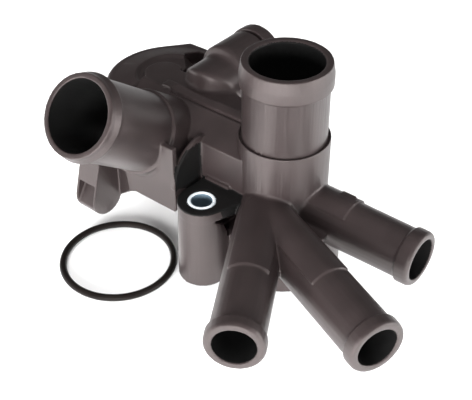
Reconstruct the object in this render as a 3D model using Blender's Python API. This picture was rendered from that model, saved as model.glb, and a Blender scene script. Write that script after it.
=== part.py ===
"""Moulded coolant housing with five hose spigots, two steel bolt bushes and its loose seal ring.

The housing is one hollow glass-filled nylon moulding. A round chamber stands on a plug that enters the
engine. A duct leads from the chamber to a capped end, which carries the large slanted spigot and the
rear spigot. Three small spigots leave the chamber low down, in one parting plane.

All sizes are in metres. While modelling, the origin is under the chamber's axis on the seating plane,
+X runs along the duct axis towards the side spigot and +Z is up. At the end the assembly is moved so
that the origin lies at the bottom centre of the whole part.
"""
import math

import bpy
import bmesh
from mathutils import Matrix, Vector

# Base plug and chamber
LIP_RADIUS = 0.0214
LIP_HEIGHT = 0.0023
BASE_RADIUS = 0.0242
BASE_TOP = 0.0234
BASE_OPENING_RADIUS = 0.0178
BASE_ROOF = 0.0035
BASE_EDGE = 0.0008
LIP_EDGE = 0.0004
LEDGE_EDGE = 0.0003
CHAMBER_RADIUS = 0.0178
LEDGE_HEIGHT = 0.0626

# Vertical top spigot
TOP_TUBE_RADIUS = 0.0165
TOP_BORE_RADIUS = 0.0139
TOP_BEAD_RADIUS = 0.0177
TOP_BEAD_LENGTH = 0.0094
TOP_BEAD_RAMP = 0.0040
TOP_BEAD_LEAD = 0.0006
TOP_RIM_RADIUS = 0.0169
TOP_RIM_HEIGHT = 0.0944
TOP_ROOT_DEPTH = 0.0100

# Duct between the chamber and the capped end
DUCT_AXIS_HEIGHT = 0.0345
DUCT_HALF_WIDTH = 0.0160
DUCT_SHOULDER_HEIGHT = 0.0546
DUCT_CROWN_HEIGHT = 0.0612
DUCT_END_X = -0.0722
WALL = 0.0028
DUCT_SHOULDER_SHARE = 0.6
DUCT_REAR_EDGE_Y = 0.0135
DUCT_REAR_EDGE_HEIGHT = 0.0600
DUCT_WAY_END = 0.0080
CROWN_RIB_WIDTH = 0.0042
CROWN_RIB_HEIGHT = 0.0012
CROWN_RIB_DEPTH = 0.0060

# Capped end: round rim plate with a sloping band, its ear and pocket, and the raised platform on it
RIM_CENTRE = (-0.0655, 0.0092)
RIM_RADIUS = 0.0284
RIM_BOTTOM = 0.0510
RIM_EDGE_HEIGHT = 0.0562
RIM_SHOULDER_HEIGHT = 0.0588
RIM_ROUNDING = 0.0026
CREST_RADIUS = 0.0157
CREST_HEIGHT = 0.0606
DISH_RADIUS = 0.0143
DISH_HEIGHT = 0.0594
EAR_CORNERS = ((-0.0794, 0.0372), (-0.0560, 0.0372))
POCKET_OUTLINE = ((-0.0560, 0.0120), (-0.0560, 0.0318), (-0.0700, 0.0318), (-0.0729, 0.0251), (-0.0648, 0.0168),
                  (-0.0640, 0.0120))
POCKET_FLOOR = 0.0535
PLATFORM_CENTRE = (-0.0683, 0.0069)
PLATFORM_RADIUS = 0.0081
PLATFORM_HEIGHT = 0.0612
RIM_FRONT_TRIM = (-0.0500, 0.0)
RIM_REAR_TRIM = (-0.0100, 0.0500)
END_BODY_RADIUS = 0.0200
END_BODY_BOTTOM = 0.0200
END_BODY_CHAMFER = 0.0030

# Large slanted spigot on the left
SLANT_X = -0.0514
SLANT_ANGLE = math.radians(36.5)
SLANT_TUBE_RADIUS = 0.0160
SLANT_BORE_RADIUS = 0.0138
SLANT_BEAD_RADIUS = 0.0171
SLANT_BEAD_LENGTH = 0.0052
SLANT_BEAD_RAMP = 0.0022
SLANT_BEAD_LEAD = 0.0019
SLANT_RIM_RADIUS = 0.0159
SLANT_LENGTH = 0.0709
SLANT_SOCKET_RADIUS = 0.0171
SLANT_SOCKET_LENGTH = 0.0330
SLANT_ROOT_HEIGHT = 0.0360
SLANT_BORE_START = 0.0040

# Rear spigot: a low root with a blunt nose, then the round tube
REAR_X = -0.0480
REAR_AXIS_HEIGHT = 0.0612
REAR_ROOT_LEFT = 0.0124
REAR_ROOT_RIGHT = 0.0145
REAR_ROOT_HALF_WIDTH = 0.0117
REAR_NOSE_RADIUS = 0.0106
REAR_NOSE_CENTRE = (-0.0490, 0.0156)
REAR_NOSE_LEFT_Y = 0.0122
REAR_NOSE_RIGHT_Y = 0.0160
REAR_ROOT_RISE = 0.0076
REAR_ROOT_BOTTOM = 0.0470
REAR_FLANGE_TOP = 0.0617
REAR_TUBE_START = 0.0212
REAR_TUBE_RADIUS = 0.0119
REAR_BORE_RADIUS = 0.0092
REAR_BEAD_RADIUS = 0.0124
REAR_BEAD_LENGTH = 0.0060
REAR_BEAD_RAMP = 0.0010
REAR_RIM_RADIUS = 0.0118
REAR_END = 0.0464
REAR_BORE_START = 0.0075
REAR_NECK_RADIUS = 0.0056
REAR_DROP_RADIUS = 0.0052
REAR_DROP_Y = 0.0130

# Three small spigots in the parting plane: end point, heading, length to the root and clocking of each
PARTING_HEIGHT = 0.0334
FRONT_SPIGOT_END_X = 0.0374
FRONT_SPIGOT_END_Y = -0.0770
FRONT_SPIGOT_HEADING = math.radians(-60.5)
CORNER_SPIGOT_END_X = 0.0747
CORNER_SPIGOT_END_Y = -0.0472
CORNER_SPIGOT_HEADING = math.radians(-23.2)
SIDE_SPIGOT_END_X = 0.0634
SIDE_SPIGOT_END_Y = 0.0
SIDE_SPIGOT_HEADING = math.radians(0.0)
SMALL_SPIGOTS = {
    "front": ((FRONT_SPIGOT_END_X, FRONT_SPIGOT_END_Y), FRONT_SPIGOT_HEADING, 0.0760, math.radians(1.2)),
    "corner": ((CORNER_SPIGOT_END_X, CORNER_SPIGOT_END_Y), CORNER_SPIGOT_HEADING, 0.0800, math.radians(-1.7)),
    "side": ((SIDE_SPIGOT_END_X, SIDE_SPIGOT_END_Y), SIDE_SPIGOT_HEADING, 0.0560, math.radians(3.4)),
}
SMALL_ROOT_RADIUS = 0.0104
SMALL_TUBE_RADIUS = 0.0100
SMALL_BORE_RADIUS = 0.0082
SMALL_BEAD_RADIUS = 0.0110
SMALL_BEAD_LENGTH = 0.0070
SMALL_BEAD_RAMP = 0.0022
SMALL_BEAD_RISE = 0.0018
SMALL_RIM_RADIUS = 0.0097
SMALL_COLLAR_RADIUS = 0.0109
SMALL_COLLAR_SETBACK = 0.0303
SMALL_COLLAR_SPAN = math.radians(92)

# Web in the parting plane between the corner and side spigots, and a pad on the side one
SPIGOT_WEB_THICKNESS = 0.0020
SPIGOT_WEB_OUTLINE = ((0.0040, 0.0), (0.0260, -0.0005), (0.0290, -0.0105), (0.0292, -0.0138), (0.0240, -0.0230),
                      (0.0060, -0.0160))
PAD_X = (0.0250, 0.0312)
PAD_Y = (0.0016, 0.0052)
PAD_RISE = 0.0107

# Bolt bosses: the rear one mirrors the front one across the duct axis
BOLT_X = -0.0180
BOLT_Y = 0.0283
BOSS_HEIGHT = 0.0387
BOSS_TOP_RADIUS = 0.0096
BOSS_FOOT_RADIUS = 0.0101
BOSS_PLATE_THICKNESS = 0.0046
BOSS_PLATE_TIP = (-0.0050, 0.0208)
BOSS_PLATE_INNER_X = (-0.0272, -0.0060)
BOSS_PLATE_INNER_Y = 0.0140
BOSS_WALL_X = (-0.0267, -0.0087)
BOSS_WALL_INNER_Y = 0.0120
BOSS_POCKET_LEFT_X = -0.0138
BOSS_POCKET_OUTER_Y = 0.0360
BOSS_POCKET_INNER_Y = 0.0100
BOSS_POCKET_FLOOR = 0.0225
BOSS_POCKET_RADIUS = 0.0118
LEDGE_RIB_X = (-0.0257, -0.0139)
LEDGE_RIB_Y = (-0.0172, -0.0152)
LEDGE_RIB_HEIGHT = 0.0012
BUSH_OUTER_RADIUS = 0.0056
BUSH_BORE_RADIUS = 0.00425
BUSH_CLEARANCE = 0.0003
BUSH_CHAMFER = 0.0004

# Flange web, gusset and foot lug on the front side
WEB_FACE_Y = -0.0315
WEB_THICKNESS = 0.0026
WEB_TOP = 0.0587
WEB_BOTTOM = 0.0287
WEB_RIGHT_X = -0.0294
WEB_CORNER_X = -0.0508
WEB_LEFT_TOP_X = -0.0600
WEB_BEND_X = -0.0545
WEB_BEND_BOTTOM = 0.0271
WEB_BEND_END = (-0.0702, -0.0233)
WEB_BEND_END_BOTTOM = 0.0128
GUSSET_X = (-0.0307, -0.0289)
GUSSET_FRONT_HEIGHT = 0.0400
GUSSET_PEAK_HEIGHT = 0.0565
GUSSET_CENTRE_Y = -0.0150
GUSSET_RADIUS = 0.0165
GUSSET_BOTTOM = 0.0300
GUSSET_INNER_Y = -0.0135
LUG_RIGHT_X = -0.0677
LUG_THICKNESS = 0.0111
LUG_CENTRE = (-0.0318, 0.0179)
LUG_RADIUS = 0.0082
LUG_SLAB_FRONT = ((-0.0394, 0.0190), (-0.0316, 0.0490))
LUG_SLAB_BACK_Y = -0.0170
LUG_SLAB_TOP = 0.0560
LUG_NOTCH_TOP = 0.0262
LUG_NOTCH_BOTTOM = 0.0150
LUG_NOTCH_DEPTH = 0.0070
LUG_NOTCH_LEFT_WALL = 0.0012
LUG_NOTCH_RIGHT_WALL = 0.0009

# Loose seal ring, lying beside the housing on the same surface
SEAL_OUTER_RADIUS = 0.0245
SEAL_SECTION = 0.0030
SEAL_PLACE = (-0.0503, -0.0450)

ROUND_LARGE = 48
ROUND_SMALL = 32

# Small step that keeps two joined faces from lying in one plane
SLIGHT = 0.00015

# How far a cut runs past the face that it opens
PAST = 0.0020

# The exact solver loses a spigot where the three small ones meet in one plane
SOLVER = "MANIFOLD"


def new_object(name, bm):
    """Turn a bmesh into a linked object with outward faces."""
    bmesh.ops.recalc_face_normals(bm, faces=bm.faces)
    mesh = bpy.data.meshes.new(name)
    bm.to_mesh(mesh)
    bm.free()
    obj = bpy.data.objects.new(name, mesh)
    bpy.context.scene.collection.objects.link(obj)
    return obj


def revolve(name, profile, segments, frame=None):
    """Solid of revolution: profile is (radius, height) from the lower centre to the upper centre."""
    bm = bmesh.new()
    rings = []
    for radius, height in profile:
        if radius == 0.0:
            rings.append([bm.verts.new((0.0, 0.0, height))])
            continue
        ring = []
        for step in range(segments):
            turn = math.tau * step / segments
            ring.append(bm.verts.new((radius * math.cos(turn), radius * math.sin(turn), height)))
        rings.append(ring)
    for lower, upper in zip(rings, rings[1:]):
        for step in range(segments):
            after = (step + 1) % segments
            if len(lower) == 1:
                continue
            if len(upper) == 1:
                continue
            bm.faces.new((lower[step], lower[after], upper[after], upper[step]))
    bottom = rings[1] if len(rings[0]) == 1 else rings[0]
    top = rings[-2] if len(rings[-1]) == 1 else rings[-1]
    bm.faces.new(list(reversed(bottom)))
    bm.faces.new(top)
    loose = [vert for vert in bm.verts if not vert.link_faces]
    bmesh.ops.delete(bm, geom=loose, context="VERTS")
    if frame is not None:
        bmesh.ops.transform(bm, matrix=frame, verts=bm.verts)
    return new_object(name, bm)


def extrude_outline(name, outline, bottom, top, frame=None):
    """Prism over an outline of (x, y) points, from bottom to top along z."""
    bm = bmesh.new()
    lower = [bm.verts.new((x, y, bottom)) for x, y in outline]
    upper = [bm.verts.new((x, y, top)) for x, y in outline]
    bm.faces.new(list(reversed(lower)))
    bm.faces.new(upper)
    count = len(outline)
    for step in range(count):
        after = (step + 1) % count
        bm.faces.new((lower[step], lower[after], upper[after], upper[step]))
    if frame is not None:
        bmesh.ops.transform(bm, matrix=frame, verts=bm.verts)
    return new_object(name, bm)


def box(name, x_range, y_range, z_range):
    """Plain block between three pairs of limits."""
    outline = [(x_range[0], y_range[0]), (x_range[1], y_range[0]),
               (x_range[1], y_range[1]), (x_range[0], y_range[1])]
    return extrude_outline(name, outline, z_range[0], z_range[1])


def arc(centre, radius, start, end, steps):
    """Points on an arc, in radians, both ends included."""
    points = []
    for step in range(steps + 1):
        turn = start + (end - start) * step / steps
        points.append((centre[0] + radius * math.cos(turn), centre[1] + radius * math.sin(turn)))
    return points


def convex_hull(points):
    """Outline of the smallest convex shape around the points, anticlockwise."""
    ordered = sorted(set(points))

    def half(sequence):
        chain = []
        for point in sequence:
            while len(chain) > 1:
                ax, ay = chain[-2]
                bx, by = chain[-1]
                if (bx - ax) * (point[1] - ay) - (by - ay) * (point[0] - ax) > 1e-12:
                    break
                chain.pop()
            chain.append(point)
        return chain[:-1]

    return half(ordered) + half(list(reversed(ordered)))


def aim(origin, direction):
    """Placement that carries +Z onto a direction, with its base at the origin point."""
    turn = Vector(direction).to_track_quat("Z", "Y").to_matrix().to_4x4()
    return Matrix.Translation(Vector(origin)) @ turn


def along_x(start_x):
    """Placement that carries outline (x, y) to world (y, z) and extrudes along +X."""
    turn = Matrix(((0, 0, 1, start_x), (1, 0, 0, 0), (0, 1, 0, 0), (0, 0, 0, 1)))
    return turn


def along_y(start_y):
    """Placement that carries outline (x, y) to world (x, z) and extrudes along +Y."""
    turn = Matrix(((1, 0, 0, 0), (0, 0, 1, start_y), (0, 1, 0, 0), (0, 0, 0, 1)))
    return turn


def combine(base, tool, operation):
    """Boolean of two objects, kept in the first one."""
    modifier = base.modifiers.new(operation.lower(), "BOOLEAN")
    modifier.operation = operation
    modifier.solver = SOLVER
    modifier.object = tool
    graph = bpy.context.evaluated_depsgraph_get()
    result = bpy.data.meshes.new_from_object(base.evaluated_get(graph))
    base.modifiers.clear()
    base.data = result
    bpy.data.objects.remove(tool)
    return base


def add(base, *tools):
    """Union of several objects."""
    for tool in tools:
        combine(base, tool, "UNION")
    return base


def cut(base, *tools):
    """Subtract several objects."""
    for tool in tools:
        combine(base, tool, "DIFFERENCE")
    return base


def spigot_profile(length, root_radius, tube_radius, bead, rim_radius):
    """Hose spigot from its root at height 0 to its rim; bead is (radius, length, rise, ramp, lead).

    The bead swells over the rise, runs level and then falls over the ramp to the rim's radius, in a round
    nose that ends at the rim, or in a cone that ends before a short lead.
    """
    bead_radius, bead_length, rise, ramp, lead = bead
    bead_start = length - bead_length
    swell = bead_radius - tube_radius
    profile = [(0.0, 0.0), (root_radius, 0.0), (tube_radius, bead_start)]
    for step in (1, 2, 3):
        turn = math.pi / 2 * step / 3
        profile.append((tube_radius + swell * math.sin(turn), bead_start + rise * (1 - math.cos(turn))))
    fall = bead_radius - rim_radius
    if lead > 0.0:
        profile += [(bead_radius, length - lead - ramp), (rim_radius + lead / 8, length - lead), (rim_radius, length)]
    else:
        for step in (1, 2, 3, 4):
            turn = math.pi / 2 * step / 4
            profile.append((bead_radius - fall * (1 - math.cos(turn)), length - ramp * (1 - math.sin(turn))))
    profile.append((0.0, length))
    return profile


def duct_section(inset):
    """Duct outline in (y, z): round below, upright sides, a straight front slope and a flatter rear top."""
    half = DUCT_HALF_WIDTH - inset
    lower = arc((0.0, DUCT_AXIS_HEIGHT), half, math.pi, math.tau, 14)
    shoulder = DUCT_SHOULDER_HEIGHT - inset * DUCT_SHOULDER_SHARE
    crown = DUCT_CROWN_HEIGHT - inset
    crown_half = CROWN_RIB_WIDTH / 2
    rear_edge = (DUCT_REAR_EDGE_Y - inset, DUCT_REAR_EDGE_HEIGHT - inset)
    return lower + [(half, shoulder), rear_edge, (crown_half, crown), (-crown_half, crown), (-half, shoulder)]


def small_spigot(name):
    """One small spigot with the half collar that thickens its upper side towards the root."""
    end, heading, length, clocking = SMALL_SPIGOTS[name]
    direction = Vector((math.cos(heading), math.sin(heading), 0.0))
    root = Vector((end[0], end[1], PARTING_HEIGHT)) - direction * length
    turned = Matrix.Rotation(clocking, 4, "Z")
    bead = (SMALL_BEAD_RADIUS, SMALL_BEAD_LENGTH, SMALL_BEAD_RISE, SMALL_BEAD_RAMP, 0.0)
    profile = spigot_profile(length, SMALL_ROOT_RADIUS, SMALL_TUBE_RADIUS, bead, SMALL_RIM_RADIUS)
    spigot = revolve(name, profile, ROUND_SMALL, aim(root, direction) @ turned)
    half_span = SMALL_COLLAR_SPAN / 2
    sector = arc((0.0, 0.0), SMALL_COLLAR_RADIUS, math.pi / 2 - half_span, math.pi / 2 + half_span, 14)
    collar_length = length - SMALL_COLLAR_SETBACK
    side = Vector((-direction.y, direction.x, 0.0))
    frame = Matrix((
        (-side.x, 0.0, direction.x, root.x),
        (-side.y, 0.0, direction.y, root.y),
        (0.0, 1.0, 0.0, root.z),
        (0.0, 0.0, 0.0, 1.0),
    ))
    collar = extrude_outline(name + "_collar", sector, 0.0, collar_length, frame @ turned)
    return add(spigot, collar)


def small_bore(name):
    """Straight water way of one small spigot."""
    end, heading, length, clocking = SMALL_SPIGOTS[name]
    direction = Vector((math.cos(heading), math.sin(heading), 0.0))
    turned = Matrix.Rotation(clocking, 4, "Z")
    tip = Vector((end[0], end[1], PARTING_HEIGHT)) + direction * PAST
    root = tip - direction * length
    return revolve(name + "_bore", [(SMALL_BORE_RADIUS, 0.0), (SMALL_BORE_RADIUS, length)], ROUND_SMALL,
                   aim(root, direction) @ turned)


def slant_direction():
    """Axis of the slanted spigot, pointing out of the housing."""
    return Vector((0.0, -math.cos(SLANT_ANGLE), math.sin(SLANT_ANGLE)))


def boss(side):
    """Bolt boss with its top plate, its pocket and the wall to the base; side is -1 front, +1 rear."""
    centre = (BOLT_X, side * BOLT_Y)
    plate_bottom = BOSS_HEIGHT - BOSS_PLATE_THICKNESS
    inside_plate = BOSS_HEIGHT - BOSS_PLATE_THICKNESS / 2
    profile = [(0.0, LIP_HEIGHT), (BOSS_FOOT_RADIUS, LIP_HEIGHT), (BOSS_TOP_RADIUS - SLIGHT, inside_plate),
               (0.0, inside_plate)]
    post = revolve("boss", profile, ROUND_SMALL, Matrix.Translation((centre[0], centre[1], 0.0)))
    wall_y = sorted((side * BOLT_Y, side * BOSS_WALL_INNER_Y))
    wall = box("boss_wall", BOSS_WALL_X, wall_y, (LIP_HEIGHT + SLIGHT, plate_bottom + BOSS_PLATE_THICKNESS / 4))
    pocket_top = plate_bottom + SLIGHT
    curve = arc((BOSS_POCKET_OUTER_Y, BOSS_POCKET_FLOOR), BOSS_POCKET_RADIUS + SLIGHT, math.pi / 2, math.pi, 7)
    pocket_curve = [(y - SLIGHT, min(z, pocket_top)) for y, z in curve]
    pocket_curve += [(BOSS_POCKET_INNER_Y, BOSS_POCKET_FLOOR), (BOSS_POCKET_INNER_Y, BOSS_HEIGHT),
                     (BOSS_POCKET_OUTER_Y, BOSS_HEIGHT)]
    pocket_outline = [(side * y, z) for y, z in pocket_curve]
    pocket = extrude_outline("boss_pocket", pocket_outline, 0.0, BASE_RADIUS, along_x(BOSS_POCKET_LEFT_X))
    plate_outline = convex_hull(
        arc(centre, BOSS_TOP_RADIUS, 0.0, math.tau, ROUND_SMALL)
        + [(BOSS_PLATE_TIP[0], side * BOSS_PLATE_TIP[1])]
        + [(x, side * BOSS_PLATE_INNER_Y) for x in BOSS_PLATE_INNER_X])
    plate = extrude_outline("boss_plate", plate_outline, plate_bottom, BOSS_HEIGHT)
    add(post, wall)
    cut(post, pocket)
    return add(post, plate)


def front_flange():
    """Flange web in front of the duct, bent back to the foot lug, and the gusset behind its edge."""
    outline = [(WEB_RIGHT_X, WEB_BOTTOM), (WEB_RIGHT_X, WEB_TOP), (WEB_LEFT_TOP_X, WEB_TOP),
               (WEB_BEND_X, WEB_BEND_BOTTOM), (WEB_CORNER_X, WEB_BOTTOM)]
    web = extrude_outline("web", outline, 0.0, WEB_THICKNESS, along_y(WEB_FACE_Y))
    run = Vector((WEB_BEND_END[0] - WEB_BEND_X, WEB_BEND_END[1] - WEB_FACE_Y, 0.0))
    reach = run.length
    run.normalize()
    bent_frame = Matrix(((run.x, 0.0, -run.y, WEB_BEND_X), (run.y, 0.0, run.x, WEB_FACE_Y),
                         (0.0, 1.0, 0.0, 0.0), (0.0, 0.0, 0.0, 1.0)))
    bent_outline = [(-SLIGHT, WEB_BEND_BOTTOM + SLIGHT), (reach, WEB_BEND_END_BOTTOM), (reach, LUG_SLAB_TOP),
                    (-SLIGHT, WEB_TOP - WEB_THICKNESS)]
    bent = extrude_outline("web_bend", bent_outline, -WEB_THICKNESS, 0.0, bent_frame)
    bulge = arc((GUSSET_CENTRE_Y, GUSSET_FRONT_HEIGHT), GUSSET_RADIUS, math.pi, math.pi / 2, 10)
    gusset_outline = [(GUSSET_INNER_Y, GUSSET_BOTTOM), (WEB_FACE_Y + SLIGHT, GUSSET_BOTTOM)]
    gusset_outline += bulge[:-1] + [(GUSSET_INNER_Y, GUSSET_PEAK_HEIGHT)]
    gusset = extrude_outline("gusset", gusset_outline, 0.0, GUSSET_X[1] - GUSSET_X[0], along_x(GUSSET_X[0]))

    left_x = LUG_RIGHT_X - LUG_THICKNESS
    slab = list(LUG_SLAB_FRONT) + [(LUG_SLAB_BACK_Y, LUG_SLAB_TOP), (LUG_CENTRE[0] + LUG_RADIUS, LUG_CENTRE[1])]
    lug_outline = convex_hull(arc(LUG_CENTRE, LUG_RADIUS, 0.0, math.tau, 28) + slab)
    lug = extrude_outline("lug", lug_outline, 0.0, LUG_THICKNESS, along_x(left_x))
    front_y = LUG_CENTRE[0] - LUG_RADIUS
    outside_y = front_y - LUG_NOTCH_DEPTH
    notch_outline = [(outside_y, LUG_NOTCH_TOP), (outside_y, LUG_NOTCH_BOTTOM), (front_y, LUG_NOTCH_BOTTOM),
                     (front_y + LUG_NOTCH_DEPTH, LUG_NOTCH_TOP)]
    notch_width = LUG_THICKNESS - LUG_NOTCH_LEFT_WALL - LUG_NOTCH_RIGHT_WALL
    cut(lug, extrude_outline("lug_notch", notch_outline, 0.0, notch_width, along_x(left_x + LUG_NOTCH_LEFT_WALL)))
    return add(web, bent, gusset, lug)


def capped_end():
    """Rim plate with its ear and pocket, the body under it and the platform of the rear spigot."""
    round_part = arc(RIM_CENTRE, RIM_RADIUS, 0.0, math.tau, ROUND_LARGE)[:-1]
    layers = [(0.0, RIM_EDGE_HEIGHT)]
    steps = 4
    for step in range(1, steps + 1):
        turn = math.pi / 2 * step / steps
        layers.append((RIM_ROUNDING * (1 - math.cos(turn)), RIM_SHOULDER_HEIGHT - RIM_ROUNDING * (1 - math.sin(turn))))
    plate = lofted_plate("rim_plate", convex_hull(round_part + list(EAR_CORNERS)), RIM_BOTTOM, layers)
    at_rim = Matrix.Translation((RIM_CENTRE[0], RIM_CENTRE[1], 0.0))
    crest = revolve("crest", [
        (0.0, RIM_BOTTOM + SLIGHT), (RIM_RADIUS - RIM_ROUNDING - SLIGHT, RIM_BOTTOM + SLIGHT),
        (RIM_RADIUS - RIM_ROUNDING - SLIGHT, RIM_SHOULDER_HEIGHT - SLIGHT), (CREST_RADIUS, CREST_HEIGHT),
        (DISH_RADIUS, DISH_HEIGHT), (0.0, DISH_HEIGHT)], ROUND_LARGE, at_rim)
    platform = extrude_outline("platform", convex_hull(
        arc(PLATFORM_CENTRE, PLATFORM_RADIUS, 0.0, math.tau, ROUND_SMALL)
        + [(REAR_X, PLATFORM_CENTRE[1] - PLATFORM_RADIUS), (REAR_X, PLATFORM_CENTRE[1])]),
        RIM_BOTTOM + SLIGHT, PLATFORM_HEIGHT)
    trim_heights = (RIM_BOTTOM - WALL, CREST_HEIGHT + WALL)
    front_side = box("front_side", (DUCT_END_X + WALL / 4, 0.0), RIM_FRONT_TRIM, trim_heights)
    rear_right = box("rear_right", (REAR_X, 0.0), RIM_REAR_TRIM, trim_heights)
    pocket = extrude_outline("pocket", POCKET_OUTLINE, POCKET_FLOOR, CREST_HEIGHT + WALL)
    add(plate, crest)
    cut(plate, front_side, rear_right)
    add(plate, platform)
    cut(plate, pocket)
    body_top = RIM_BOTTOM + WALL
    body = revolve("end_body", [
        (0.0, END_BODY_BOTTOM), (END_BODY_RADIUS - END_BODY_CHAMFER, END_BODY_BOTTOM),
        (END_BODY_RADIUS, END_BODY_BOTTOM + END_BODY_CHAMFER), (END_BODY_RADIUS, body_top), (0.0, body_top)],
        ROUND_SMALL, Matrix.Translation((DUCT_END_X + END_BODY_RADIUS / 2, 0.0, 0.0)))
    return add(plate, body)


def lofted_plate(name, outline, bottom, layers):
    """Plate over a convex outline whose upper edge is rounded by shrinking layers."""
    centre_x = sum(x for x, _ in outline) / len(outline)
    centre_y = sum(y for _, y in outline) / len(outline)
    bm = bmesh.new()
    rings = [[bm.verts.new((x, y, bottom)) for x, y in outline]]
    for inset, height in layers:
        ring = []
        for x, y in outline:
            reach = math.hypot(x - centre_x, y - centre_y)
            share = (reach - inset) / reach
            ring.append(bm.verts.new((centre_x + (x - centre_x) * share, centre_y + (y - centre_y) * share, height)))
        rings.append(ring)
    count = len(outline)
    for lower, upper in zip(rings, rings[1:]):
        for step in range(count):
            after = (step + 1) % count
            bm.faces.new((lower[step], lower[after], upper[after], upper[step]))
    bm.faces.new(list(reversed(rings[0])))
    bm.faces.new(rings[-1])
    return new_object(name, bm)


def rear_spigot():
    """Level rear spigot: a low root with a blunt nose on the duct, then the round tube and its bead."""
    left_x = REAR_X - REAR_ROOT_LEFT
    right_x = REAR_X + REAR_ROOT_RIGHT
    section = [(left_x, REAR_ROOT_BOTTOM), (left_x, REAR_FLANGE_TOP)]
    bow = (REAR_ROOT_HALF_WIDTH ** 2 + REAR_ROOT_RISE ** 2) / (2 * REAR_ROOT_RISE)
    lean = math.asin(REAR_ROOT_HALF_WIDTH / bow)
    bow_centre = (REAR_X, REAR_FLANGE_TOP + REAR_ROOT_RISE - bow)
    section += arc(bow_centre, bow, math.pi / 2 + lean, math.pi / 2 - lean, 12)
    section += [(right_x, REAR_FLANGE_TOP), (right_x, REAR_ROOT_BOTTOM)]
    loaf = extrude_outline("rear_loaf", section, 0.0, REAR_END / 2, along_y(0.0))
    root_end = REAR_TUBE_START + WALL
    plan = convex_hull(
        arc(REAR_NOSE_CENTRE, REAR_NOSE_RADIUS, math.pi, math.tau, 18)
        + [(left_x + SLIGHT, REAR_NOSE_LEFT_Y), (left_x + SLIGHT, root_end),
           (right_x - SLIGHT, REAR_NOSE_RIGHT_Y), (right_x - SLIGHT, root_end)])
    nose = extrude_outline("rear_nose", plan, REAR_ROOT_BOTTOM - WALL, REAR_AXIS_HEIGHT + REAR_TUBE_RADIUS)
    combine(loaf, nose, "INTERSECT")
    edge = WALL / 2
    bead = (REAR_BEAD_RADIUS, REAR_BEAD_LENGTH, edge / 2, REAR_BEAD_RAMP, 0.0)
    profile = spigot_profile(REAR_END - REAR_TUBE_START, REAR_TUBE_RADIUS, REAR_TUBE_RADIUS, bead, REAR_RIM_RADIUS)
    profile[1:2] = [(REAR_TUBE_RADIUS - edge, 0.0), (REAR_TUBE_RADIUS - edge / 4, edge / 4), (REAR_TUBE_RADIUS, edge)]
    tube = revolve("rear_tube", profile, ROUND_SMALL, aim((REAR_X, REAR_TUBE_START, REAR_AXIS_HEIGHT), (0, 1, 0)))
    return add(loaf, tube)


def outer_form():
    """Outside of the moulding, without its water ways."""
    body = revolve("housing", [
        (0.0, 0.0), (LIP_RADIUS - LIP_EDGE, 0.0), (LIP_RADIUS, LIP_EDGE), (LIP_RADIUS, LIP_HEIGHT),
        (BASE_RADIUS, LIP_HEIGHT), (BASE_RADIUS, BASE_TOP - BASE_EDGE), (BASE_RADIUS - BASE_EDGE, BASE_TOP),
        (CHAMBER_RADIUS, BASE_TOP), (CHAMBER_RADIUS, LEDGE_HEIGHT - LEDGE_EDGE),
        (CHAMBER_RADIUS - LEDGE_EDGE, LEDGE_HEIGHT), (0.0, LEDGE_HEIGHT)], ROUND_LARGE)
    top_length = TOP_RIM_HEIGHT - LEDGE_HEIGHT + TOP_ROOT_DEPTH
    top_bead = (TOP_BEAD_RADIUS, TOP_BEAD_LENGTH, LEDGE_EDGE, TOP_BEAD_RAMP, TOP_BEAD_LEAD)
    top = revolve("top", spigot_profile(top_length, TOP_TUBE_RADIUS, TOP_TUBE_RADIUS, top_bead, TOP_RIM_RADIUS),
                  ROUND_LARGE, Matrix.Translation((0.0, 0.0, TOP_RIM_HEIGHT - top_length)))
    duct = extrude_outline("duct", duct_section(0.0), 0.0, -DUCT_END_X, along_x(DUCT_END_X))
    rib = box("rib", (DUCT_END_X, 0.0), (-CROWN_RIB_WIDTH / 2, CROWN_RIB_WIDTH / 2),
              (DUCT_CROWN_HEIGHT - CROWN_RIB_DEPTH, DUCT_CROWN_HEIGHT + CROWN_RIB_HEIGHT))
    add(body, top, duct, capped_end(), rib)

    at_root = aim((SLANT_X, 0.0, SLANT_ROOT_HEIGHT), slant_direction())
    slant_bead = (SLANT_BEAD_RADIUS, SLANT_BEAD_LENGTH, LEDGE_EDGE, SLANT_BEAD_RAMP, SLANT_BEAD_LEAD)
    slant = revolve("slant", spigot_profile(SLANT_LENGTH, SLANT_TUBE_RADIUS, SLANT_TUBE_RADIUS, slant_bead,
                                            SLANT_RIM_RADIUS), ROUND_LARGE, at_root)
    socket = revolve("socket", [(0.0, 0.0), (SLANT_SOCKET_RADIUS, 0.0), (SLANT_SOCKET_RADIUS, SLANT_SOCKET_LENGTH),
                                (0.0, SLANT_SOCKET_LENGTH)], ROUND_LARGE, at_root)
    add(slant, socket)
    add(body, slant, rear_spigot(), front_flange(), boss(-1), boss(1))

    small = small_spigot("front")
    add(small, small_spigot("corner"), small_spigot("side"))
    web_bottom = PARTING_HEIGHT - SPIGOT_WEB_THICKNESS / 2
    web_top = PARTING_HEIGHT + SPIGOT_WEB_THICKNESS / 2
    web = extrude_outline("spigot_web", SPIGOT_WEB_OUTLINE, web_bottom, web_top)
    pad = box("pad", PAD_X, PAD_Y, (PARTING_HEIGHT, PARTING_HEIGHT + PAD_RISE))
    add(small, web, pad)
    ledge_rib = box("ledge_rib", LEDGE_RIB_X, LEDGE_RIB_Y,
                    (BOSS_HEIGHT - LEDGE_RIB_HEIGHT, BOSS_HEIGHT + LEDGE_RIB_HEIGHT))
    return add(body, small, ledge_rib)


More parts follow.
